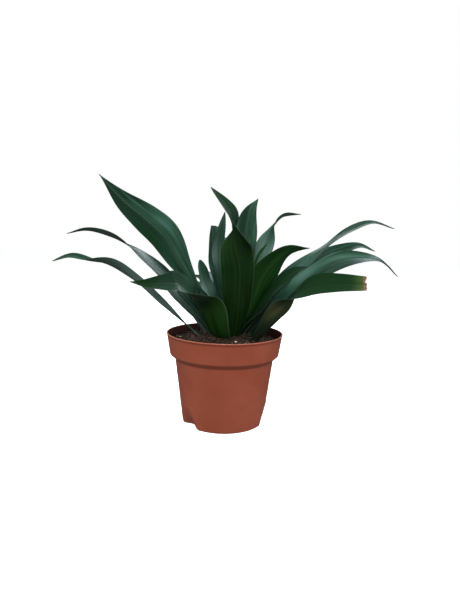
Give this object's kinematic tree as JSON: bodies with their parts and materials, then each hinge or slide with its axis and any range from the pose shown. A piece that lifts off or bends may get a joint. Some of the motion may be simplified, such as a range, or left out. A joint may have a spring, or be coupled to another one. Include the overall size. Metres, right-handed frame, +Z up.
{
  "type": "potted plant",
  "caption": "Dracaena with long arching dark green leaves, growing from peat in a round terracotta-coloured plastic nursery pot.",
  "frame": {"origin": "centre of the pot's flat underside", "axes": "+Z up out of the pot, -Y toward the viewer of the picture, +X to the viewer's right"},
  "size_m": [0.3672, 0.2408, 0.2583],
  "materials": {
    "pot_plastic": "satin moulded plastic, terracotta brown",
    "soil": "loose dark peat",
    "stem": "smooth green cane",
    "leaf_dark": "glossy, fine lengthwise veins",
    "leaf_young": "glossy, brighter green",
    "leaf_olive": "satin, olive underside"
  },
  "bodies": {
    "root": {"pot": "pot_plastic", "soil": "soil", "stem": "stem", "leaf_left_low": "leaf_dark", "leaf_right_cut": "leaf_dark", "leaf_back_right_low": "leaf_dark", "leaf_back_left_low": "leaf_dark", "leaf_back_low": "leaf_dark", "leaf_right_low": "leaf_dark", "leaf_left_mid": "leaf_dark", "leaf_right_mid": "leaf_dark", "leaf_back_right_mid": "leaf_dark", "leaf_front_folded": "leaf_olive", "leaf_back_left_mid": "leaf_dark", "leaf_right_high": "leaf_dark", "leaf_front_tall": "leaf_olive", "leaf_left_tall": "leaf_dark", "leaf_right_inner": "leaf_dark", "leaf_back_high": "leaf_dark", "leaf_front_right": "leaf_young", "leaf_left_droopy": "leaf_dark", "leaf_right_arched": "leaf_dark", "leaf_back_upright": "leaf_dark", "leaf_left_short": "leaf_dark", "leaf_rear_blunt": "leaf_dark", "leaf_rear_wide": "leaf_dark", "leaf_centre_narrow": "leaf_dark", "leaf_heart_outer": "leaf_young", "leaf_heart_inner": "leaf_young"}
  },
  "joints": []
}
